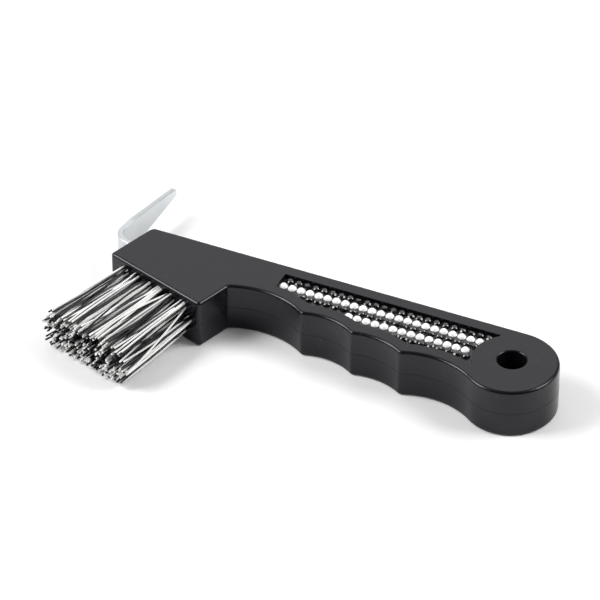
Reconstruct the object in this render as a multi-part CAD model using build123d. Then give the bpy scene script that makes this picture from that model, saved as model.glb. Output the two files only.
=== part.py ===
from build123d import *
import math
import os

# Hoof pick: a moulded finger-grip handle with a steel pick at its head, a stiff
# brush beside the pick, a hanging hole at its tail and an inlaid band of stones.
# Millimetres. The origin is on the hanging hole's axis at the face the tool lies on.
# +X runs along the straight back edge to the head, +Y to the fingers and the brush,
# +Z up through the handle to the face that carries the stones.

# Handle blank
HANDLE_THICKNESS = 18.4
FACE_EDGE_ROUNDING = 1.1
HOLE_TO_BACK_EDGE = 16.2
TAIL_PALM_RADIUS = 17.8
TAIL_PALM_CENTRE_X = 1.0
TAIL_FINGER_RADIUS = 16.0
TAIL_BLEND_ANGLE = 148.0

# Finger hollows, from the tail to the head; widths of the grip are taken from the back edge
LITTLE_RIDGE_FROM_HOLE = 36.0
RING_HOLLOW_LENGTH = 19.5
MIDDLE_HOLLOW_LENGTH = 20.1
INDEX_HOLLOW_LENGTH = 29.5
GRIP_WIDTH_LITTLE_RIDGE = 28.9
GRIP_WIDTH_RING_RIDGE = 25.9
GRIP_WIDTH_MIDDLE_RIDGE = 23.2
GRIP_WIDTH_NECK = 20.0
LITTLE_HOLLOW_RADIUS = 27.4
RING_HOLLOW_RADIUS = 24.0
MIDDLE_HOLLOW_RADIUS = 22.0
INDEX_HOLLOW_RADIUS = 30.3
RIDGE_ROUNDING = 1.8

# Head block
BRUSH_FACE_LENGTH = 43.7
BRUSH_FACE_TURN = 18.25
HEAD_END_LEAN = 16.8
HEAD_INNER_WALL = 14.7
NECK_ROUNDING = 1.5
HEAD_CORNER_ROUNDING = 1.4
HEAD_BACK_ROUNDING = 2.5

# Hanging hole
HANG_HOLE_RADIUS = 5.0
HANG_HOLE_RIM_ROUNDING = 0.6

# Recess for the stones
RECESS_DEPTH = 2.2
RECESS_FROM_BACK_EDGE = 5.05
FRONT_ROW_TO_RECESS_PEAK = 3.05
RECESS_END_FROM_NECK = 14.8
LAND_ROUND_HOLE = 13.7
RECESS_CORNER_ROUNDING = 0.5

# Stones on their carrier sheet
CARRIER_THICKNESS = 0.5
CARRIER_CLEARANCE = 0.1
STONE_DIAMETER = 3.1
STONE_TABLE_DIAMETER = 1.7
STONE_GIRDLE_HEIGHT = 0.25
STONE_HEIGHT = 1.0
STONE_CLEARANCE = 0.02
STONE_ROW_GAP = 0.05
BACK_ROW_WALL_GAP = 0.15
BLACK_STONE_GAP = 0.17
CLEAR_STONE_GAP = 0.27
# Each row, from the back edge: its gap between stones and its gap at the head end
STONE_ROWS = {
    "crystals_black_back": (BLACK_STONE_GAP, 1.15),
    "crystals_clear_back": (CLEAR_STONE_GAP, 0.05),
    "crystals_black_middle": (BLACK_STONE_GAP, 1.7),
    "crystals_clear_front": (CLEAR_STONE_GAP, 0.75),
    "crystals_black_front": (BLACK_STONE_GAP, 1.1),
}

# Pick, bent from flat strip
STRIP_WIDTH = 12.0
STRIP_THICKNESS = 2.0
STRIP_EDGE_ROUNDING = 0.35
TANG_DEPTH = 28.0
TANG_FROM_BRUSH_FACE = 12.3
TANG_CLEARANCE = 0.03
PICK_REACH = 9.8
PICK_BEND_RADIUS = 6.0
PICK_TURN = 75.3
PICK_HOOK_LENGTH = 40.4
PICK_TAPER_START = 10.5
PICK_TIP_WIDTH = 3.4
KEYING_HOLE_RADIUS = 2.5
KEYING_HOLE_DEPTHS = (9.0, 20.0)

# Brush: staggered rows, the middle one with one tuft more than its neighbours
LONG_ROW_TUFTS = 7
TUFT_ROWS = 3
TUFT_HOLE_DIAMETER = 4.0
TUFT_HOLE_DEPTH = 9.0
TUFT_HOLE_BOTTOM_GAP = 0.2
TUFT_HOLE_OVERCUT = 1.0
TUFT_CLEARANCE = 0.05
TUFT_ROW_WALL = 1.1
FIRST_TUFT_FROM_END = 4.3
LAST_TUFT_FROM_INNER_WALL = 5.6
BRISTLE_LENGTH = 35.5
BRUSH_LEAN = 1.3
BRUSH_SPLAY = 0.09
TUFT_TIP_GAP = 0.3

# Wire anchors that hold the tufts
ANCHOR_THICKNESS = 0.5
ANCHOR_WIDTH = 1.8
ANCHOR_BITE = 0.3
ANCHOR_CLEARANCE = 0.02
TUFT_FOLD_THICKNESS = 0.9


def heading(degrees):
    """Level unit vector, counted from +X towards +Y."""
    return Vector(math.cos(math.radians(degrees)), math.sin(math.radians(degrees)))


def hollow_centre(start, end, radius):
    """Centre, on the finger side, of a hollow of this radius between two ridges."""
    along = end - start
    height = math.sqrt(radius ** 2 - (along.length / 2) ** 2)
    return (start + end) / 2 + Vector(-along.Y, along.X).normalized() * height


def minor_arc(start, end, centre):
    """The shorter arc between two points of a circle."""
    middle = (start + end) / 2 - centre
    return ThreePointArc(start, centre + middle.normalized() * (start - centre).length, end)


# ---------------------------------------------------------------- handle outline
mid_height = HANDLE_THICKNESS / 2

little_ridge = Vector(LITTLE_RIDGE_FROM_HOLE, GRIP_WIDTH_LITTLE_RIDGE - HOLE_TO_BACK_EDGE)
ring_ridge = Vector(
    little_ridge.X + RING_HOLLOW_LENGTH, GRIP_WIDTH_RING_RIDGE - HOLE_TO_BACK_EDGE)
middle_ridge = Vector(
    ring_ridge.X + MIDDLE_HOLLOW_LENGTH, GRIP_WIDTH_MIDDLE_RIDGE - HOLE_TO_BACK_EDGE)
neck = Vector(middle_ridge.X + INDEX_HOLLOW_LENGTH, GRIP_WIDTH_NECK - HOLE_TO_BACK_EDGE)

along_brush = heading(-BRUSH_FACE_TURN)
out_of_brush = heading(90 - BRUSH_FACE_TURN)
up_the_end = heading(90 - HEAD_END_LEAN)
brush_inner_corner = neck + up_the_end * HEAD_INNER_WALL
brush_end_corner = brush_inner_corner + along_brush * BRUSH_FACE_LENGTH
end_face_length = (brush_end_corner.Y + HOLE_TO_BACK_EDGE) / up_the_end.Y
back_corner = brush_end_corner - up_the_end * end_face_length

# The tail is two arcs: one tangent to the back edge, one that runs into the little hollow.
tail_start = Vector(TAIL_PALM_CENTRE_X, -HOLE_TO_BACK_EDGE)
palm_centre = tail_start + Vector(0, TAIL_PALM_RADIUS)
blend_direction = heading(TAIL_BLEND_ANGLE)
finger_centre = palm_centre + blend_direction * (TAIL_PALM_RADIUS - TAIL_FINGER_RADIUS)
tail_blend = palm_centre + blend_direction * TAIL_PALM_RADIUS

# The little hollow passes through its ridge and is tangent to the tail's finger side.
to_ridge = little_ridge - finger_centre
centre_distance = TAIL_FINGER_RADIUS + LITTLE_HOLLOW_RADIUS
shift = (centre_distance ** 2 - LITTLE_HOLLOW_RADIUS ** 2 + to_ridge.length ** 2) / (
    2 * to_ridge.length)
rise = math.sqrt(centre_distance ** 2 - shift ** 2)
ridge_way = to_ridge.normalized()
little_centre = finger_centre + ridge_way * shift + Vector(-ridge_way.Y, ridge_way.X) * rise
tail_end = finger_centre + (little_centre - finger_centre).normalized() * TAIL_FINGER_RADIUS

ring_centre = hollow_centre(little_ridge, ring_ridge, RING_HOLLOW_RADIUS)
middle_centre = hollow_centre(ring_ridge, middle_ridge, MIDDLE_HOLLOW_RADIUS)
index_centre = hollow_centre(middle_ridge, neck, INDEX_HOLLOW_RADIUS)
hollows = [
    (little_centre, LITTLE_HOLLOW_RADIUS),
    (ring_centre, RING_HOLLOW_RADIUS),
    (middle_centre, MIDDLE_HOLLOW_RADIUS),
    (index_centre, INDEX_HOLLOW_RADIUS),
]

outline = [
    Line(tail_start, back_corner),
    Line(back_corner, brush_end_corner),
    Line(brush_end_corner, brush_inner_corner),
    Line(brush_inner_corner, neck),
    minor_arc(neck, middle_ridge, index_centre),
    minor_arc(middle_ridge, ring_ridge, middle_centre),
    minor_arc(ring_ridge, little_ridge, ring_centre),
    minor_arc(little_ridge, tail_end, little_centre),
    minor_arc(tail_end, tail_blend, finger_centre),
    minor_arc(tail_blend, tail_start, palm_centre),
]
corner_roundings = [
    (back_corner, HEAD_BACK_ROUNDING),
    (brush_end_corner, HEAD_CORNER_ROUNDING),
    (brush_inner_corner, HEAD_CORNER_ROUNDING),
    (neck, NECK_ROUNDING),
    (middle_ridge, RIDGE_ROUNDING),
    (ring_ridge, RIDGE_ROUNDING),
    (little_ridge, RIDGE_ROUNDING),
]


def handle_blank():
    blank = extrude(make_face(outline), HANDLE_THICKNESS)
    for corner, radius in corner_roundings:
        at_corner = corner + Vector(0, 0, mid_height)
        upright = blank.edges().filter_by(Axis.Z).sort_by_distance(at_corner)[0]
        blank = fillet(upright, radius)
    flat_faces = blank.faces().filter_by(Axis.Z)
    blank = fillet(flat_faces.edges(), FACE_EDGE_ROUNDING)
    blank -= Pos(0, 0, mid_height) * Cylinder(HANG_HOLE_RADIUS, HANDLE_THICKNESS)
    rims = blank.edges().filter_by(GeomType.CIRCLE).filter_by(
        lambda edge: abs(edge.radius - HANG_HOLE_RADIUS) < 1e-3)
    return fillet(rims, HANG_HOLE_RIM_ROUNDING)


# ---------------------------------------------------------------- recess and stones
# The recess is as wide as its rows of stones at the little ridge, with a peak beyond them.
row_pitch_of_stones = STONE_DIAMETER + STONE_ROW_GAP
stone_rows_width = BACK_ROW_WALL_GAP + len(STONE_ROWS) * row_pitch_of_stones
recess_width = stone_rows_width + FRONT_ROW_TO_RECESS_PEAK
recess_from_hollows = GRIP_WIDTH_LITTLE_RIDGE - RECESS_FROM_BACK_EDGE - recess_width
recess_head_end = neck.X - RECESS_END_FROM_NECK
recess_floor = HANDLE_THICKNESS - RECESS_DEPTH
stone_seat = recess_floor + CARRIER_THICKNESS


def recess_face(margin):
    """Plan of the recess, drawn in by a margin: straight along the back and at the head end,
    parallel to the finger hollows, and round the land left about the hanging hole."""
    back = -HOLE_TO_BACK_EDGE + RECESS_FROM_BACK_EDGE + margin
    head_end = recess_head_end - margin
    finger_side = little_ridge.Y
    plan = Pos(head_end / 2, (back + finger_side) / 2) * Rectangle(head_end, finger_side - back)
    plan -= Circle(LAND_ROUND_HOLE + margin)
    for centre, radius in hollows:
        plan -= Pos(centre.X, centre.Y) * Circle(radius + recess_from_hollows + margin)
    return fillet(plan.vertices(), RECESS_CORNER_ROUNDING)


def stone_fits(x, y):
    """True where a stone stands clear of every wall of the recess."""
    reach = STONE_DIAMETER / 2 + STONE_CLEARANCE
    clear_of_hollows = all(
        math.hypot(x - centre.X, y - centre.Y) >= radius + recess_from_hollows + reach
        for centre, radius in hollows)
    clear_of_land = math.hypot(x, y) >= LAND_ROUND_HOLE + reach
    return clear_of_hollows and clear_of_land


def stone():
    crown_height = STONE_HEIGHT - STONE_GIRDLE_HEIGHT
    girdle = Pos(0, 0, STONE_GIRDLE_HEIGHT / 2) * Cylinder(STONE_DIAMETER / 2, STONE_GIRDLE_HEIGHT)
    crown = Pos(0, 0, STONE_GIRDLE_HEIGHT + crown_height / 2) * Cone(
        STONE_DIAMETER / 2, STONE_TABLE_DIAMETER / 2, crown_height)
    return girdle + crown


def stone_row(row, stone_gap, head_end_gap):
    """Stones at one pitch from the head end towards the tail, wherever the recess takes them."""
    wall = -HOLE_TO_BACK_EDGE + RECESS_FROM_BACK_EDGE
    first_y = wall + BACK_ROW_WALL_GAP + STONE_DIAMETER / 2
    y = first_y + row * row_pitch_of_stones
    first_x = recess_head_end - head_end_gap - STONE_DIAMETER / 2
    pitch = STONE_DIAMETER + stone_gap
    places = [first_x - step * pitch for step in range(int(first_x / pitch) + 1)]
    cut_stone = stone()
    return [Pos(x, y, stone_seat) * cut_stone for x in places if stone_fits(x, y)]


carrier = Pos(0, 0, recess_floor) * extrude(recess_face(CARRIER_CLEARANCE), CARRIER_THICKNESS)

# ---------------------------------------------------------------- pick
tang_mouth = brush_end_corner - out_of_brush * TANG_FROM_BRUSH_FACE
level = Vector(0, 0, mid_height)
tang_end = tang_mouth - along_brush * TANG_DEPTH + level
pick_corner = tang_mouth + along_brush * PICK_REACH + level
along_hook = heading(-BRUSH_FACE_TURN - PICK_TURN)
pick_point = pick_corner + along_hook * PICK_HOOK_LENGTH


def strip_sweep(thickness, width):
    path = FilletPolyline(tang_end, pick_corner, pick_point, radius=PICK_BEND_RADIUS)
    section = Plane(origin=tang_end, x_dir=(0, 0, 1), z_dir=along_brush) * Rectangle(
        width, thickness)
    return sweep(section, path)


def pick_blade():
    blade = strip_sweep(STRIP_THICKNESS, STRIP_WIDTH)
    # Looking square at the hook: x along it from the bend, y up, tapered to a round point.
    hook_plane = Plane(origin=pick_corner, x_dir=along_hook,
                       z_dir=along_hook.cross(Vector(0, 0, 1)))
    tip_radius = PICK_TIP_WIDTH / 2
    tip_circle = Pos(PICK_HOOK_LENGTH - tip_radius, 0) * Circle(tip_radius)
    shoulder = Line(
        (PICK_TAPER_START, -STRIP_WIDTH / 2), (PICK_TAPER_START, STRIP_WIDTH / 2))
    kept = make_hull(tip_circle.edges() + shoulder.edges())
    taper_length = PICK_HOOK_LENGTH - PICK_TAPER_START
    around = Pos(PICK_TAPER_START + taper_length, 0) * Rectangle(
        2 * taper_length, 2 * STRIP_WIDTH)
    blade -= extrude(hook_plane * (around - kept), 2 * STRIP_THICKNESS, both=True)
    blade = fillet(blade.edges(), STRIP_EDGE_ROUNDING)
    for depth in KEYING_HOLE_DEPTHS:
        centre = tang_mouth - along_brush * depth + level
        blade -= Plane(origin=centre, z_dir=out_of_brush) * Cylinder(
            KEYING_HOLE_RADIUS, 2 * STRIP_THICKNESS)
    return blade


def tang_pocket():
    """Room in the head for the tang; the moulding fills the tang's keying holes."""
    pocket = strip_sweep(
        STRIP_THICKNESS + 2 * TANG_CLEARANCE, STRIP_WIDTH + 2 * TANG_CLEARANCE)
    tang_end_gap = Plane(origin=tang_end, z_dir=along_brush) * Box(
        STRIP_THICKNESS, STRIP_WIDTH, 2 * TANG_CLEARANCE)
    for depth in KEYING_HOLE_DEPTHS:
        centre = tang_mouth - along_brush * depth + level
        pocket -= Plane(origin=centre, z_dir=out_of_brush) * Cylinder(
            KEYING_HOLE_RADIUS - TANG_CLEARANCE, 2 * STRIP_THICKNESS)
    return pocket + tang_end_gap


# ---------------------------------------------------------------- brush
tuft_pitch = (BRUSH_FACE_LENGTH - FIRST_TUFT_FROM_END - LAST_TUFT_FROM_INNER_WALL) / (
    LONG_ROW_TUFTS - 1)
row_pitch = TUFT_HOLE_DIAMETER + TUFT_ROW_WALL
tuft_radius = TUFT_HOLE_DIAMETER / 2 - TUFT_CLEARANCE
tip_pitch = tuft_pitch * (1 + BRUSH_SPLAY)
tip_diagonal = math.hypot(tip_pitch / 2, row_pitch)
tuft_tip_radius = (min(tip_pitch, tip_diagonal) - TUFT_TIP_GAP) / 2
tuft_bottom = -TUFT_HOLE_DEPTH + TUFT_HOLE_BOTTOM_GAP
anchor_centre = tuft_bottom + TUFT_FOLD_THICKNESS + ANCHOR_WIDTH / 2


def is_long(row):
    """Long rows take turns with short ones, and the middle row is long."""
    return (row - TUFT_ROWS // 2) % 2 == 0


def past_first(column, row):
    """How far a tuft stands past the first tuft of a long row, along the face."""
    return (column if is_long(row) else column + 0.5) * tuft_pitch


def tuft_frame(column, row):
    """Mouth of one tuft hole: x towards the pick, z straight out of the brush face."""
    from_end = FIRST_TUFT_FROM_END + past_first(column, row)
    height = mid_height + (row - (TUFT_ROWS - 1) / 2) * row_pitch
    mouth = brush_end_corner - along_brush * from_end + Vector(0, 0, height)
    return Plane(origin=mouth, x_dir=along_brush, z_dir=out_of_brush)


def tuft_hole():
    bore_length = TUFT_HOLE_DEPTH + TUFT_HOLE_OVERCUT
    bore = Pos(0, 0, TUFT_HOLE_OVERCUT - bore_length / 2) * Cylinder(
        TUFT_HOLE_DIAMETER / 2, bore_length)
    return bore + anchor(ANCHOR_CLEARANCE)


def anchor(clearance):
    """Flat wire across the hole, longer than the hole is wide so that its ends bite."""
    length = TUFT_HOLE_DIAMETER + 2 * ANCHOR_BITE
    return Pos(0, 0, anchor_centre) * Box(
        ANCHOR_THICKNESS + 2 * clearance, length + 2 * clearance, ANCHOR_WIDTH + 2 * clearance)


def tuft(column, row):
    """Filaments doubled over the anchor, packed in the hole and splayed towards the tips.
    They lean away from the pick, the more so the nearer they stand to the fingers."""
    shank = Pos(0, 0, tuft_bottom / 2) * Cylinder(tuft_radius, -tuft_bottom)
    lean = BRUSH_LEAN + past_first(column, row) * BRUSH_SPLAY
    root = Circle(tuft_radius)
    tip = Pos(-lean, 0, BRISTLE_LENGTH) * Circle(tuft_tip_radius)
    return shank + loft([root, tip]) - anchor(ANCHOR_CLEARANCE)


tuft_places = [
    (column, row, tuft_frame(column, row))
    for row in range(TUFT_ROWS)
    for column in range(LONG_ROW_TUFTS if is_long(row) else LONG_ROW_TUFTS - 1)
]

# ---------------------------------------------------------------- handle with its cuts
handle = handle_blank()
handle -= Pos(0, 0, recess_floor) * extrude(recess_face(0), RECESS_DEPTH)
handle -= tang_pocket()
one_hole = tuft_hole()
handle -= [frame * one_hole for _, _, frame in tuft_places]

# ---------------------------------------------------------------- write every node
nodes = {
    "handle": handle,
    "pick_blade": pick_blade(),
    "crystal_carrier": carrier,
    "tuft_anchors": Compound([frame * anchor(0) for _, _, frame in tuft_places]),
}
for row, (name, (stone_gap, head_end_gap)) in enumerate(STONE_ROWS.items()):
    nodes[name] = Compound(stone_row(row, stone_gap, head_end_gap))
for column, row, frame in tuft_places:
    nodes[f"bristle_tuft_r{row + 1}_c{column + 1}"] = frame * tuft(column, row)

os.makedirs("parts", exist_ok=True)
for name, shape in nodes.items():
    export_step(shape, f"parts/{name}.step")
    print(name, len(shape.solids()), "solid(s)")
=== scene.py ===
import math

import bmesh
import bpy
import numpy as np
from mathutils import Matrix, Vector


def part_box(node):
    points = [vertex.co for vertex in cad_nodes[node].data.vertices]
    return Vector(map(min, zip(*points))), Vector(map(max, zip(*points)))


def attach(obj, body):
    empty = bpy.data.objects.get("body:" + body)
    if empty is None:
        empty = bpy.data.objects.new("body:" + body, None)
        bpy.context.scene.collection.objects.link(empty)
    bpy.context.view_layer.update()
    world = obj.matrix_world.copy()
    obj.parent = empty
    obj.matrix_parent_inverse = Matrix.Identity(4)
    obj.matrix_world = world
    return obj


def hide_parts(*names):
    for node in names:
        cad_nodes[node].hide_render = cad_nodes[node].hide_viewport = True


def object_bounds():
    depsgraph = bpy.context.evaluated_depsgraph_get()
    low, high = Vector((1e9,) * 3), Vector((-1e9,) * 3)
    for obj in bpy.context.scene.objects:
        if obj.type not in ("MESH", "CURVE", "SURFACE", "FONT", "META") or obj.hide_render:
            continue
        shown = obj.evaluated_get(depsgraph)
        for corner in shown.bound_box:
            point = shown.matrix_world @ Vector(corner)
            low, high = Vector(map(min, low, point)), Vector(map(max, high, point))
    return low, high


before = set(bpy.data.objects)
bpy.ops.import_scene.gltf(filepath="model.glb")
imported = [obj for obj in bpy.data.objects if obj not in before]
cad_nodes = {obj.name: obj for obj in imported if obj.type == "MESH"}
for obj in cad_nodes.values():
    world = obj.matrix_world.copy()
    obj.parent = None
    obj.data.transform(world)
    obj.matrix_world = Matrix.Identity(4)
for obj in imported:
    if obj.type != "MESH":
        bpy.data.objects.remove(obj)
cad_low, cad_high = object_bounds()

# ------------------------------------------------------------------ studio
# The tool lies on a matt white sweep in a light tent: a softbox to the left, one
# to the right, a large weak panel behind, and a long lens that looks down at it.
CAMERA_PLACE = Vector((-0.44641, 1.09145, 0.91002))
CAMERA_FORWARD = Vector((0.3495, -0.7255, -0.5929))
SENSOR_WIDTH = 36.0
LENS = 262.56
NEAREST_SEEN = 0.05
FURTHEST_SEEN = 20.0
FLOOR_SIZE = 6.0
FLOOR_WHITE = (0.93, 0.93, 0.93, 1)
FLOOR_ROUGHNESS = 0.9
TENT_WHITE = (1.0, 1.0, 1.0, 1)
TENT_STRENGTH = 0.3
TENT_OPENS = 0.05
TENT_OPEN = 0.55
ROOM_DARK = (0.1, 0.1, 0.11, 1)
LIT_PLACE = Vector((0.07, 0.0, 0.0))
SOFTBOX_ASIDE = 0.85
SOFTBOX_UP = 0.75
SOFTBOX_SIZE = 0.62
LEFT_POWER = 11.8
RIGHT_POWER = 9.2
PANEL_BEHIND = 1.3
PANEL_UP = 0.94
PANEL_SIZE = 1.2
PANEL_POWER = 4.4

scene = bpy.context.scene
scene.view_settings.view_transform = "Standard"
scene.view_settings.look = "None"

lens = bpy.data.cameras.new("camera")
lens.sensor_width = SENSOR_WIDTH
lens.lens = LENS
lens.clip_start = NEAREST_SEEN
lens.clip_end = FURTHEST_SEEN
camera = bpy.data.objects.new("camera", lens)
camera.location = CAMERA_PLACE
camera.rotation_mode = "QUATERNION"
camera.rotation_quaternion = CAMERA_FORWARD.to_track_quat("-Z", "Y")
scene.collection.objects.link(camera)
scene.camera = camera


class Socket:
    """A shader value that works in sums like a number and builds its own Math nodes."""

    def __init__(self, shading, output):
        self.shading = shading
        self.output = output

    def _math(self, operation, first, second):
        return self.shading.node(
            "ShaderNodeMath", {"operation": operation}, {0: first, 1: second})

    def __add__(self, other):
        return self._math("ADD", self, other)

    def __rsub__(self, other):
        return self._math("SUBTRACT", other, self)

    def __mul__(self, other):
        return self._math("MULTIPLY", self, other)

    __radd__ = __add__
    __rmul__ = __mul__


class Shading:
    """The node tree of a world or a material."""

    def __init__(self, tree, shader):
        self.nodes = tree.nodes
        self.links = tree.links
        self.shader = tree.nodes[shader]

    def node(self, kind, settings=None, sockets=None, output=0):
        """Adds a node of any type: first its settings, then its sockets' values or links."""
        node = self.nodes.new(kind)
        for setting, value in (settings or {}).items():
            setattr(node, setting, value)
        for socket, value in (sockets or {}).items():
            self.feed(node.inputs[socket], value)
        return Socket(self, node.outputs[output])

    def feed(self, target, value):
        if isinstance(value, Socket):
            self.links.new(value.output, target)
        else:
            target.default_value = value

    def vary(self, socket, value):
        """Feeds one of the shader's own sockets."""
        self.feed(self.shader.inputs[socket], value)

    def ramp(self, value, start, end):
        """Rises from 0 to 1 as the value goes from start to end, and stays there."""
        return self.node(
            "ShaderNodeMapRange", {"interpolation_type": "SMOOTHSTEP"},
            {0: value, 1: start, 2: end})

    def blend(self, factor, first, second):
        """Mixes two colours."""
        return self.node(
            "ShaderNodeMix", {"data_type": "RGBA"}, {0: factor, 6: first, 7: second}, output=2)


up = Vector((0, 0, 1))
camera_right = CAMERA_FORWARD.cross(up).normalized()
camera_ahead = up.cross(camera_right)

# The tent is open on the camera's side, where the room is dark: gloss shows that
# opening, while matt surfaces are lit by the whole tent.
tent = bpy.data.worlds.new("light_tent")
tent.use_nodes = True
tent_light = Shading(tent.node_tree, "Background")
looking = tent_light.node("ShaderNodeTexCoord")
frontness = tent_light.node(
    "ShaderNodeVectorMath", {"operation": "DOT_PRODUCT"}, {0: looking, 1: -camera_ahead}, output=1)
gloss = 1.0 - tent_light.node("ShaderNodeLightPath", output=2)
opening = tent_light.ramp(frontness, TENT_OPENS, TENT_OPEN)
tent_light.vary("Color", tent_light.blend(opening * gloss, TENT_WHITE, ROOM_DARK))
tent_light.vary("Strength", TENT_STRENGTH)
scene.world = tent


def soft_lamp(name, place, size, power):
    """A square lamp at a place, turned towards the tool."""
    light = bpy.data.lights.new(name, "AREA")
    light.size = size
    light.energy = power
    lamp = bpy.data.objects.new(name, light)
    lamp.location = place
    lamp.rotation_mode = "QUATERNION"
    lamp.rotation_quaternion = (LIT_PLACE - place).to_track_quat("-Z", "Y")
    scene.collection.objects.link(lamp)


aside = camera_right * SOFTBOX_ASIDE
behind = camera_ahead * PANEL_BEHIND
soft_lamp("left_softbox", LIT_PLACE - aside + up * SOFTBOX_UP, SOFTBOX_SIZE, LEFT_POWER)
soft_lamp("right_softbox", LIT_PLACE + aside + up * SOFTBOX_UP, SOFTBOX_SIZE, RIGHT_POWER)
soft_lamp("back_panel", LIT_PLACE + behind + up * PANEL_UP, PANEL_SIZE, PANEL_POWER)

sweep_mesh = bpy.data.meshes.new("floor")
half_floor = FLOOR_SIZE / 2
sweep_mesh.from_pydata(
    [(-half_floor, -half_floor, 0), (half_floor, -half_floor, 0),
     (half_floor, half_floor, 0), (-half_floor, half_floor, 0)], [], [(0, 1, 2, 3)])
floor = bpy.data.objects.new("floor", sweep_mesh)
scene.collection.objects.link(floor)
floor_paint = bpy.data.materials.new("white_sweep")
floor_paint.use_nodes = True
floor_shader = floor_paint.node_tree.nodes["Principled BSDF"]
floor_shader.inputs["Base Color"].default_value = FLOOR_WHITE
floor_shader.inputs["Roughness"].default_value = FLOOR_ROUGHNESS
sweep_mesh.materials.append(floor_paint)


# ------------------------------------------------------------------ handle
# Black plastic, injection-moulded in one shot over the pick's tang. The mould is
# finely etched, so the skin is satin. Hands have rubbed it in places.
SKIN_BLACK = (0.0035, 0.0035, 0.005, 1)
SKIN_PALE = (0.006, 0.006, 0.0075, 1)
WORN_GREY = (0.03, 0.03, 0.032, 1)
# The faint violet on the plastic's reflections is a painted reflection tint, standing in for a
# bluish backdrop.
PAINTED_REFLECTION_TINT = (0.95, 0.92, 1.0, 1)
SKIN_RELIEF = 0.00001


class Finish(Shading):
    """One material on a Principled shader; uniform values go straight on its sockets."""

    def __init__(self, name, uniform):
        self.material = bpy.data.materials.new(name)
        self.material.use_nodes = True
        super().__init__(self.material.node_tree, "Principled BSDF")
        for socket, value in uniform.items():
            self.shader.inputs[socket].default_value = value

    def place(self):
        """Object coordinates, in metres, as the pieces all share one frame."""
        return self.node("ShaderNodeTexCoord", output="Object")

    def noise(self, place, size, detail=2.0, roughness=0.5):
        """Smooth noise whose features are about this size in metres."""
        return self.node(
            "ShaderNodeTexNoise", None,
            {"Vector": place, "Scale": 1 / size, "Detail": detail, "Roughness": roughness})

    def bump(self, height, depth):
        """Relief of this depth in metres on the shader's Normal."""
        self.vary("Normal", self.node(
            "ShaderNodeBump", None, {"Height": height, "Distance": depth, "Strength": 1.0}))


def moulded_black():
    """Satin black: the plastic's flow, the mould's grain, rubbed patches and dust, with a painted
    violet tint on its reflections.
    """
    # Specular Tint carries the painted reflection tint.
    finish = Finish("moulded_black", {"IOR": 1.4, "Specular Tint": PAINTED_REFLECTION_TINT})
    place = finish.place()
    flow = finish.noise(place, size=0.03, detail=3.0)
    grain = finish.noise(place, size=0.00035)
    patches = finish.noise(place, size=0.006, detail=5.0, roughness=0.7)
    rub = finish.ramp(patches, start=0.56, end=0.7)
    specks = finish.noise(place, size=0.0007, detail=1.0)
    dust = finish.ramp(specks, start=0.72, end=0.78)
    skin = finish.blend(flow, SKIN_BLACK, SKIN_PALE)
    finish.vary("Base Color", finish.blend(rub * 0.25 + dust * 0.5, skin, WORN_GREY))
    finish.vary("Roughness", 0.14 + grain * 0.08 + flow * 0.06 + rub * 0.08)
    finish.bump(grain, SKIN_RELIEF)
    return finish.material


handle = cad_nodes["handle"]
black_plastic = moulded_black()
handle.material_slots[0].material = black_plastic


# ------------------------------------------------------------------ parting line
# A hair of plastic stands proud where the mould's two halves met, half way up the
# walls. It is trimmed off on the brush face and on the pick's end of the head.
# It follows the handle's outline, which is read from a cut under the tuft holes.
BRUSH_TURN = math.radians(18.25)
END_LEAN = math.radians(16.8)
CUT_LEVEL = 0.0016
PARTING_RADIUS = 0.00006
PARTING_SIDES = 6
ON_FACE = 0.00005
SAME_POINT = 1e-6


def wall_outline():
    """The handle's outer outline at the cut's level, in order."""
    cut = bmesh.new()
    cut.from_mesh(handle.data)
    bmesh.ops.remove_doubles(cut, verts=cut.verts, dist=SAME_POINT)
    bmesh.ops.bisect_plane(
        cut, geom=cut.verts[:] + cut.edges[:] + cut.faces[:],
        plane_co=(0, 0, CUT_LEVEL), plane_no=(0, 0, 1), clear_inner=True, clear_outer=True)
    here = min(cut.verts, key=lambda vertex: vertex.co.y)
    outline = []
    seen = set()
    while here is not None:
        outline.append((here.co.x, here.co.y))
        seen.add(here)
        beside = [edge.other_vert(here) for edge in here.link_edges]
        here = next((vertex for vertex in beside if vertex not in seen), None)
    cut.free()
    return np.array(outline)


def longest_run(points, kept):
    """The longest unbroken run of kept points round a closed outline."""
    first_gap = int(np.argmin(kept))
    points = np.roll(points, -first_gap, axis=0)
    kept = np.roll(kept, -first_gap)
    breaks = np.flatnonzero(np.diff(kept.astype(int))) + 1
    runs = [run for run in np.split(np.arange(len(points)), breaks) if kept[run[0]]]
    return points[max(runs, key=len)]


def seam_path():
    """The outline without its straight runs on the brush face and the head's end."""
    outline = wall_outline()
    past_brush = outline @ (math.sin(BRUSH_TURN), math.cos(BRUSH_TURN))
    past_end = outline @ (math.cos(END_LEAN), -math.sin(END_LEAN))
    off_brush = past_brush < past_brush.max() - ON_FACE
    off_end = past_end < past_end.max() - ON_FACE
    return longest_run(outline, off_brush & off_end)


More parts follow.
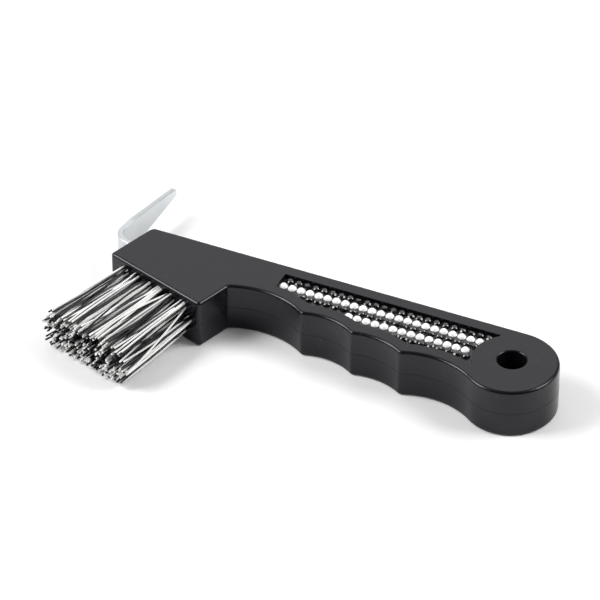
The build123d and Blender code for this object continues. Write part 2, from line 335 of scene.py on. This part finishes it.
def bead_mesh(name, path, height):
    """A thin round bead along a level path, closed at both ends."""
    along = np.gradient(path, axis=0)
    across = np.stack((along[:, 1], -along[:, 0]), axis=1)
    across /= np.linalg.norm(across, axis=1, keepdims=True)
    turns = np.linspace(0, 2 * math.pi, PARTING_SIDES, endpoint=False)
    bead = bmesh.new()
    rings = []
    for (x, y), (across_x, across_y) in zip(path, across):
        rings.append([
            bead.verts.new((
                x + across_x * PARTING_RADIUS * math.cos(turn),
                y + across_y * PARTING_RADIUS * math.cos(turn),
                height + PARTING_RADIUS * math.sin(turn)))
            for turn in turns])
    for ring, after in zip(rings, rings[1:]):
        for side in range(PARTING_SIDES):
            bead.faces.new((ring[side - 1], ring[side], after[side], after[side - 1]))
    bead.faces.new(rings[0])
    bead.faces.new(rings[-1])
    bmesh.ops.recalc_face_normals(bead, faces=bead.faces)
    mesh = bpy.data.meshes.new(name)
    bead.to_mesh(mesh)
    bead.free()
    return mesh


seam_mesh = bead_mesh("parting_line", seam_path(), (cad_high.z + cad_low.z) / 2)
seam_mesh.materials.append(black_plastic)
parting_line = bpy.data.objects.new("parting_line", seam_mesh)
scene.collection.objects.link(parting_line)
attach(parting_line, "root")


# ------------------------------------------------------------------ pick
# Steel strip, sheared to a taper, bent cold and bright zinc plated. Its tang is
# moulded into the head.
ZINC_DARK = (0.55, 0.59, 0.62, 1)
ZINC_LIGHT = (0.7, 0.71, 0.7, 1)
ZINC_RELIEF = 0.000015


def zinc_plate():
    """Bright plating, slightly cloudy, over the strip's rolled grain."""
    finish = Finish("zinc_plate", {"Metallic": 1.0})
    place = finish.place()
    cloud = finish.noise(place, size=0.012, detail=3.0)
    grain = finish.noise(place, size=0.0006, detail=3.0)
    finish.vary("Base Color", finish.blend(cloud, ZINC_DARK, ZINC_LIGHT))
    finish.vary("Roughness", 0.3 + grain * 0.15)
    finish.bump(grain, ZINC_RELIEF)
    return finish.material


zinc = zinc_plate()
cad_nodes["pick_blade"].material_slots[0].material = zinc


# ------------------------------------------------------------------ tuft anchors
# Short pieces of flat steel wire, cut as the tufts are driven. Each lies across the
# fold of its tuft and bites into the hole's walls, out of sight.
cad_nodes["tuft_anchors"].material_slots[0].material = zinc


# ------------------------------------------------------------------ crystal carrier
# Thin black self-adhesive film, die-cut to the recess. The stones are set on it
# in rows and the whole strip is pressed into the handle.
FILM_DARK = (0.01, 0.01, 0.012, 1)
FILM_LIGHT = (0.03, 0.03, 0.032, 1)
FILM_RELIEF = 0.00003


def carrier_film():
    """Black film with a fine grain."""
    finish = Finish("carrier_film", {})
    grain = finish.noise(finish.place(), size=0.0005)
    finish.vary("Base Color", finish.blend(grain, FILM_DARK, FILM_LIGHT))
    finish.vary("Roughness", 0.3 + grain * 0.2)
    finish.bump(grain, FILM_RELIEF)
    return finish.material


cad_nodes["crystal_carrier"].material_slots[0].material = carrier_film()


# ------------------------------------------------------------------ crystals
# Flat-backed glass stones, moulded and polished: a sixteen-sided girdle, a ring of
# facets and an eight-sided table. The clear ones are foiled behind; the black ones
# are opaque. They are glued to the film in five rows, none of them quite level.
STONE_GIRDLE_TOP = 0.00025
STONE_BREAK_HEIGHT = 0.00064
STONE_BREAK_SHARE = 0.86
STONE_TABLE_SHARE = 0.58
STONE_EDGES = 8
STONE_TILT = math.radians(6)
STONE_SEED_STRIDE = 10
CLOUD_SIZE = 0.002
FOIL_GREY = (0.78, 0.78, 0.78, 1)
FOIL_BRIGHT = (0.92, 0.92, 0.92, 1)
JET_DARK = (0.001, 0.001, 0.0012, 1)
JET_PALE = (0.003, 0.003, 0.0034, 1)


def stone_blank(radius, height):
    """One cut stone standing on the origin, as an object for the rows to repeat."""
    cut = bmesh.new()

    def ring(count, share, level, turn):
        return [
            cut.verts.new((
                radius * share * math.cos(2 * math.pi * (step + turn) / count),
                radius * share * math.sin(2 * math.pi * (step + turn) / count),
                level))
            for step in range(count)]

    foot = ring(2 * STONE_EDGES, 1, 0, 0)
    girdle = ring(2 * STONE_EDGES, 1, STONE_GIRDLE_TOP, 0)
    breaks = ring(STONE_EDGES, STONE_BREAK_SHARE, STONE_BREAK_HEIGHT, 0)
    table = ring(STONE_EDGES, STONE_TABLE_SHARE, height, 0.5)
    cut.faces.new(foot[::-1])
    cut.faces.new(table)
    for step in range(2 * STONE_EDGES):
        after = (step + 1) % (2 * STONE_EDGES)
        cut.faces.new((foot[step], foot[after], girdle[after], girdle[step]))
    for step in range(STONE_EDGES):
        after = (step + 1) % STONE_EDGES
        before = step - 1
        between = 2 * step + 1
        cut.faces.new((girdle[2 * step], girdle[between], breaks[step]))
        cut.faces.new((girdle[between], girdle[2 * after], breaks[after]))
        cut.faces.new((girdle[between], breaks[after], table[step], breaks[step]))
        cut.faces.new((breaks[step], table[step], table[before]))
    mesh = bpy.data.meshes.new("cut_stone")
    cut.to_mesh(mesh)
    cut.free()
    return bpy.data.objects.new("cut_stone", mesh)


class Tree:
    """A Geometry Nodes tree: named inputs, and nodes added like a Finish's."""

    def __init__(self, name, inputs):
        self.group = bpy.data.node_groups.new(name, "GeometryNodeTree")
        self.named = {}
        interface = self.group.interface
        interface.new_socket("Geometry", in_out="INPUT", socket_type="NodeSocketGeometry")
        for label, kind in inputs.items():
            item = interface.new_socket(label, in_out="INPUT", socket_type=kind)
            self.named[label] = item.identifier
        interface.new_socket("Geometry", in_out="OUTPUT", socket_type="NodeSocketGeometry")
        self.entry = self.group.nodes.new("NodeGroupInput")

    def given(self, label):
        return self.entry.outputs[label]

    def node(self, kind, settings=None, sockets=None):
        """Adds a node; socket values that are outputs or nodes become links."""
        node = self.group.nodes.new(kind)
        for setting, value in (settings or {}).items():
            setattr(node, setting, value)
        for socket, value in (sockets or {}).items():
            self.feed(node.inputs[socket], value)
        return node

    def feed(self, target, value):
        if isinstance(value, bpy.types.Node):
            value = next(output for output in value.outputs if output.enabled)
        if isinstance(value, bpy.types.NodeSocket):
            self.group.links.new(value, target)
        else:
            target.default_value = value

    def math(self, operation, *values):
        return self.node("ShaderNodeMath", {"operation": operation}, dict(enumerate(values)))

    def random(self, low, high, seed):
        return self.node(
            "FunctionNodeRandomValue", {"data_type": "FLOAT"}, {2: low, 3: high, "Seed": seed})

    def finish(self, geometry):
        self.feed(self.node("NodeGroupOutput").inputs[0], geometry)

    def grow(self, name, seed_mesh, values):
        """Runs the tree on a mesh and returns the result as a plain mesh object."""
        start = bpy.data.objects.new(name + "_start", seed_mesh)
        scene.collection.objects.link(start)
        modifier = start.modifiers.new("grow", "NODES")
        modifier.node_group = self.group
        for label, value in values.items():
            modifier[self.named[label]] = value
        evaluated = start.evaluated_get(bpy.context.evaluated_depsgraph_get())
        mesh = bpy.data.meshes.new_from_object(evaluated)
        start.modifiers.remove(modifier)
        bpy.data.objects.remove(start)
        piece = bpy.data.objects.new(name, mesh)
        scene.collection.objects.link(piece)
        return piece


def stone_row_tree():
    """A stone on every point, each turned and tilted a little."""
    tree = Tree("stone_row", {
        "Stone": "NodeSocketObject", "Tilt": "NodeSocketFloat", "Seed": "NodeSocketInt",
        "Finish": "NodeSocketMaterial"})
    stone = tree.node("GeometryNodeObjectInfo", None, {"Object": tree.given("Stone")})
    tilt_low = tree.math("MULTIPLY", tree.given("Tilt"), -1.0)
    turns = tree.node("ShaderNodeCombineXYZ", None, {
        0: tree.random(tilt_low, tree.given("Tilt"), tree.given("Seed")),
        1: tree.random(tilt_low, tree.given("Tilt"), tree.math("ADD", tree.given("Seed"), 1.0)),
        2: tree.random(
            0.0, 2 * math.pi / STONE_EDGES, tree.math("ADD", tree.given("Seed"), 2.0))})
    placed = tree.node("GeometryNodeInstanceOnPoints", None, {
        "Points": tree.given("Geometry"), "Instance": stone.outputs["Geometry"],
        "Rotation": turns})
    solid = tree.node("GeometryNodeRealizeInstances", None, {"Geometry": placed})
    tree.finish(tree.node("GeometryNodeSetMaterial", None, {
        "Geometry": solid, "Material": tree.given("Finish")}))
    return tree


def stone_places(node):
    """The foot centres of the stones in a CAD row, from its loose shells."""
    shells = bmesh.new()
    shells.from_mesh(cad_nodes[node].data)
    bmesh.ops.remove_doubles(shells, verts=shells.verts, dist=SAME_POINT)
    waiting = set(shells.verts)
    centres = []
    while waiting:
        reached = [waiting.pop()]
        shell = []
        while reached:
            vertex = reached.pop()
            shell.append(vertex.co)
            for edge in vertex.link_edges:
                other = edge.other_vert(vertex)
                if other in waiting:
                    waiting.remove(other)
                    reached.append(other)
        low = [min(point[axis] for point in shell) for axis in range(3)]
        high = [max(point[axis] for point in shell) for axis in range(3)]
        centres.append(((low[0] + high[0]) / 2, (low[1] + high[1]) / 2, low[2]))
    shells.free()
    return sorted(centres)


def clear_crystal():
    """Glass over a silver foil; the foil's colour also goes on Emission as a painted glow,
    standing in for the light the foil throws back.
    """
    finish = Finish("clear_crystal", {
        "Metallic": 0.15, "Coat Weight": 1.0, "Coat Roughness": 0.03, "IOR": 1.56,
        "Emission Strength": 0.2})
    cloud = finish.noise(finish.place(), CLOUD_SIZE)
    silver_and_glow = finish.blend(cloud, FOIL_GREY, FOIL_BRIGHT)
    finish.vary("Base Color", silver_and_glow)
    # Painted glow: the crystal emits light in the foil's colour, though it is no lamp.
    finish.vary("Emission Color", silver_and_glow)
    finish.vary("Roughness", 0.1 + cloud * 0.1)
    return finish.material


def jet_crystal():
    """Opaque black glass with a mirror polish."""
    finish = Finish("jet_crystal", {"IOR": 1.7})
    cloud = finish.noise(finish.place(), CLOUD_SIZE)
    finish.vary("Base Color", finish.blend(cloud, JET_DARK, JET_PALE))
    finish.vary("Roughness", 0.02 + cloud * 0.05)
    return finish.material


row_tree = stone_row_tree()
stone_finishes = {"clear": clear_crystal(), "black": jet_crystal()}
stone_rows = sorted(node for node in cad_nodes if node.startswith("crystals_"))
row_low, row_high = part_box(stone_rows[0])
stone_radius = (row_high.y - row_low.y) / 2
cut_stone = stone_blank(stone_radius, row_high.z - row_low.z)
for seed, node in enumerate(stone_rows):
    shade = node.split("_")[1]
    places = bpy.data.meshes.new(node + "_places")
    places.from_pydata(stone_places(node), [], [])
    row = row_tree.grow(node + "_cut", places, {
        "Stone": cut_stone, "Tilt": STONE_TILT, "Seed": seed * STONE_SEED_STRIDE,
        "Finish": stone_finishes[shade]})
    # The row of bare points leaves an empty slot in front of the stones' own.
    row.data.materials.pop(index=0)
    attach(row, "root")
    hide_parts(node)
    shade + "_crystal"


# ------------------------------------------------------------------ brush
# Stiff nylon filaments, black and white mixed, doubled over a wire anchor and
# driven into drilled holes, then trimmed level. Use has splayed and crossed them,
# most of all in the tufts by the rows' ends.
FILAMENTS_PER_TUFT = 26
FILAMENT_RADIUS = 0.00034
RADIUS_SPREAD = 0.25
FILAMENT_STEPS = 9
FILAMENT_SIDES = 8
ROOT_INSET = 0.0015
HOLE_WALL_GAP = 0.0001
WHITE_SHARE = 0.44
TRIM_UNEVEN = 0.0009
TIP_SCATTER = 0.001
BEND = 0.0009
STRAY_SHARE = 0.12
STRAY_REACH = 4.0
OUTER_STRAY_SHARE = 0.26
OUTER_COLUMNS = ("_c1", "_c6", "_c7")
FLOOR_GAP = 0.0018
HOLE_DEPTH = 0.0088
SHARP_ANGLE = math.radians(60)
GOLDEN_TURN = math.pi * (3 - math.sqrt(5))
TUFT_SEED_STRIDE = 20
BLACK_NYLON_DARK = (0.003, 0.003, 0.004, 1)
BLACK_NYLON_LIGHT = (0.009, 0.009, 0.01, 1)
WHITE_NYLON_DARK = (0.66, 0.66, 0.65, 1)
WHITE_NYLON_LIGHT = (0.88, 0.88, 0.87, 1)
NYLON_RELIEF = 0.000006


def tuft_tree():
    """Filaments in the hole's own frame: x along the brush, y up, z out of the face."""
    tree = Tree("brush_tuft", {
        "Filaments": "NodeSocketInt", "Root radius": "NodeSocketFloat",
        "Tip radius": "NodeSocketFloat", "Tip centre": "NodeSocketVector",
        "Filament radius": "NodeSocketFloat", "Inset": "NodeSocketFloat",
        "Uneven": "NodeSocketFloat", "Scatter": "NodeSocketFloat", "Bend": "NodeSocketFloat",
        "Radius spread": "NodeSocketFloat", "Stray share": "NodeSocketFloat",
        "Stray reach": "NodeSocketFloat", "Lowest tip": "NodeSocketFloat",
        "Highest tip": "NodeSocketFloat", "White share": "NodeSocketFloat",
        "Sharp angle": "NodeSocketFloat", "Seed": "NodeSocketInt",
        "Black": "NodeSocketMaterial", "White": "NodeSocketMaterial"})
    given = tree.given

    def seed(step):
        return tree.math("ADD", given("Seed"), float(step))

    def either_way(label, step):
        least = tree.math("MULTIPLY", given(label), -1.0)
        return tree.random(least, given(label), seed(step))

    # A sunflower packing fills the round hole evenly.
    index = tree.node("GeometryNodeInputIndex")
    filled = tree.math("DIVIDE", tree.math("ADD", index, 0.5), given("Filaments"))
    share = tree.math("SQRT", filled)
    turn = tree.math("MULTIPLY", index, GOLDEN_TURN)
    unit = tree.node("ShaderNodeCombineXYZ", None, {
        0: tree.math("MULTIPLY", share, tree.math("COSINE", turn)),
        1: tree.math("MULTIPLY", share, tree.math("SINE", turn)), 2: 0.0})

    def scaled(vector, factor):
        return tree.node(
            "ShaderNodeVectorMath", {"operation": "SCALE"}, {0: vector, "Scale": factor})

    def added(first, second):
        return tree.node(
            "ShaderNodeVectorMath", {"operation": "ADD"}, {0: first, 1: second})

    root = scaled(unit, given("Root radius"))
    # A few filaments have strayed; none can bend below the floor or above the head.
    stray = tree.math("LESS_THAN", tree.random(0.0, 1.0, seed(8)), given("Stray share"))
    wander = tree.math("MULTIPLY_ADD", stray, given("Stray reach"), 1.0)
    scatter = tree.node("ShaderNodeCombineXYZ", None, {
        0: tree.math("MULTIPLY", either_way("Scatter", 1), wander),
        1: tree.math("MULTIPLY", either_way("Scatter", 2), wander),
        2: either_way("Uneven", 3)})
    free_tip = added(added(scaled(unit, given("Tip radius")), given("Tip centre")), scatter)
    free = tree.node("ShaderNodeSeparateXYZ", None, {0: free_tip}).outputs
    tip = tree.node("ShaderNodeCombineXYZ", None, {
        0: free["X"],
        1: tree.node("ShaderNodeClamp", None, {
            "Value": free["Y"], "Min": given("Lowest tip"), "Max": given("Highest tip")}),
        2: free["Z"]})
    bow = tree.node("ShaderNodeCombineXYZ", None, {
        0: either_way("Bend", 4), 1: either_way("Bend", 5), 2: 0.0})
    points = tree.node("GeometryNodePoints", None, {"Count": given("Filaments")})

    def remember(geometry, name, kind, value):
        return tree.node(
            "GeometryNodeStoreNamedAttribute", {"data_type": kind, "domain": "POINT"},
            {"Geometry": geometry, "Name": name, "Value": value})

    def recall(name, kind):
        return tree.node(
            "GeometryNodeInputNamedAttribute", {"data_type": kind}, {"Name": name})

    marked = remember(points, "root", "FLOAT_VECTOR", root)
    marked = remember(marked, "tip", "FLOAT_VECTOR", tip)
    marked = remember(marked, "bow", "FLOAT_VECTOR", bow)
    marked = remember(marked, "tint", "FLOAT", tree.random(0.0, 1.0, seed(6)))
    marked = remember(marked, "thickness", "FLOAT", tree.math(
        "ADD", 1.0, either_way("Radius spread", 9)))
    marked = remember(marked, "white", "BOOLEAN", tree.node(
        "FunctionNodeCompare", {"data_type": "FLOAT", "operation": "LESS_THAN"},
        {0: tree.random(0.0, 1.0, seed(7)), 1: given("White share")}))

    # Every filament starts as the same straight line, then runs from its root to its tip.
    line = tree.node("GeometryNodeCurvePrimitiveLine", None, {"End": (0, 0, 1)})
    steps = tree.node(
        "GeometryNodeResampleCurve", None, {"Curve": line, "Count": FILAMENT_STEPS})
    placed = tree.node(
        "GeometryNodeInstanceOnPoints", None, {"Points": marked, "Instance": steps})
    lines = tree.node("GeometryNodeRealizeInstances", None, {"Geometry": placed})
    along = tree.node("GeometryNodeSplineParameter").outputs["Factor"]
    root_now = recall("root", "FLOAT_VECTOR")
    tip_now = recall("tip", "FLOAT_VECTOR")
    bow_now = recall("bow", "FLOAT_VECTOR")
    reach = tree.node(
        "ShaderNodeVectorMath", {"operation": "SUBTRACT"}, {0: tip_now, 1: root_now})
    spread = scaled(reach, along)
    bulge = scaled(bow_now, tree.math("SINE", tree.math("MULTIPLY", along, math.pi)))
    sunk = tree.node("ShaderNodeCombineXYZ", None, {
        2: tree.math("MULTIPLY", tree.math("SUBTRACT", along, 1.0), given("Inset"))})
    path = added(added(root_now, spread), added(bulge, sunk))
    laid = tree.node("GeometryNodeSetPosition", None, {"Geometry": lines, "Position": path})
    laid = tree.node("GeometryNodeSetCurveRadius", None, {
        "Curve": laid, "Radius": recall("thickness", "FLOAT")})
    section = tree.node("GeometryNodeCurvePrimitiveCircle", None, {
        "Resolution": FILAMENT_SIDES, "Radius": given("Filament radius")})
    rods = tree.node("GeometryNodeFlipFaces", None, {
        "Mesh": tree.node("GeometryNodeCurveToMesh", None, {
            "Curve": laid, "Profile Curve": section, "Fill Caps": True})})
    smooth = tree.node(
        "GeometryNodeSetShadeSmooth", None, {"Geometry": rods, "Shade Smooth": True})
    # The cut ends stay crisp.
    steep = tree.node(
        "FunctionNodeCompare", {"data_type": "FLOAT", "operation": "GREATER_THAN"},
        {0: tree.node("GeometryNodeInputMeshEdgeAngle"), 1: given("Sharp angle")})
    crisp = tree.node("GeometryNodeSetShadeSmooth", {"domain": "EDGE"}, {
        "Geometry": smooth, "Selection": steep, "Shade Smooth": False})
    solid = tree.node("GeometryNodeRealizeInstances", None, {"Geometry": crisp})
    black = tree.node("GeometryNodeSetMaterial", None, {
        "Geometry": solid, "Material": given("Black")})
    tree.finish(tree.node("GeometryNodeSetMaterial", None, {
        "Geometry": black, "Selection": recall("white", "BOOLEAN"), "Material": given("White")}))
    return tree


def nylon(name, dark, light, roughness, painted_glow):
    """Extruded nylon: each filament has its own tint, and the white ones carry a weak painted glow
    in that tint, standing in for light passing through.
    """
    finish = Finish(name, {"IOR": 1.42, "Emission Strength": painted_glow})
    tint = finish.node("ShaderNodeAttribute", {"attribute_name": "tint"}, output=2)
    shade = finish.blend(tint, dark, light)
    finish.vary("Base Color", shade)
    # Emission in the filament's own tint is a painted glow, not a lamp; only the white nylon gets
    # any.
    finish.vary("Emission Color", shade)
    grain = finish.noise(finish.place(), size=0.0004)
    finish.vary("Roughness", roughness + grain * 0.1)
    finish.bump(grain, NYLON_RELIEF)
    return finish.material


black_nylon = nylon(
    "black_nylon", BLACK_NYLON_DARK, BLACK_NYLON_LIGHT, roughness=0.25, painted_glow=0.0)
white_nylon = nylon(
    "white_nylon", WHITE_NYLON_DARK, WHITE_NYLON_LIGHT, roughness=0.32, painted_glow=0.08)

out_of_brush = Vector((math.sin(BRUSH_TURN), math.cos(BRUSH_TURN), 0))
along_brush = Vector((math.cos(BRUSH_TURN), -math.sin(BRUSH_TURN), 0))


def tuft_ends(node):
    """The centres of a CAD tuft's sunk end and tip, and the radii there."""
    points = np.array([vertex.co for vertex in cad_nodes[node].data.vertices])
    height = points @ np.array(out_of_brush)
    sunk = points[height < height.min() + SAME_POINT]
    tip = points[height > height.max() - SAME_POINT]
    ends = []
    for disc in (sunk, tip):
        centre = (disc.min(0) + disc.max(0)) / 2
        ends.append((Vector(centre), (disc[:, 2].max() - disc[:, 2].min()) / 2))
    return ends


filament_tree = tuft_tree()
tuft_nodes = sorted(node for node in cad_nodes if node.startswith("bristle_tuft_"))
head_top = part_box("handle")[1].z
axes = Matrix((along_brush, up, out_of_brush)).transposed()
for seed, node in enumerate(tuft_nodes):
    outer = node.endswith(OUTER_COLUMNS)
    (sunk_end, hole_radius), (tip_end, tip_radius) = tuft_ends(node)
    mouth = sunk_end + out_of_brush * HOLE_DEPTH
    to_tip = tip_end - mouth
    hole_frame = Matrix.Translation(mouth) @ axes.to_4x4()
    tuft = filament_tree.grow(node + "_filaments", bpy.data.meshes.new(node + "_hole"), {
        "Filaments": FILAMENTS_PER_TUFT,
        "Root radius": hole_radius - FILAMENT_RADIUS - HOLE_WALL_GAP,
        "Tip radius": tip_radius - FILAMENT_RADIUS,
        "Tip centre": (to_tip.dot(along_brush), to_tip.z, to_tip.dot(out_of_brush)),
        "Filament radius": FILAMENT_RADIUS, "Inset": ROOT_INSET, "Uneven": TRIM_UNEVEN,
        "Scatter": TIP_SCATTER, "Bend": BEND, "Radius spread": RADIUS_SPREAD,
        "Stray share": OUTER_STRAY_SHARE if outer else STRAY_SHARE,
        "Stray reach": STRAY_REACH, "Lowest tip": FLOOR_GAP - mouth.z,
        "Highest tip": head_top - mouth.z, "White share": WHITE_SHARE,
        "Sharp angle": SHARP_ANGLE, "Seed": seed * TUFT_SEED_STRIDE,
        "Black": black_nylon, "White": white_nylon})
    tuft.data.transform(hole_frame)
    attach(tuft, "root")
    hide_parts(node)
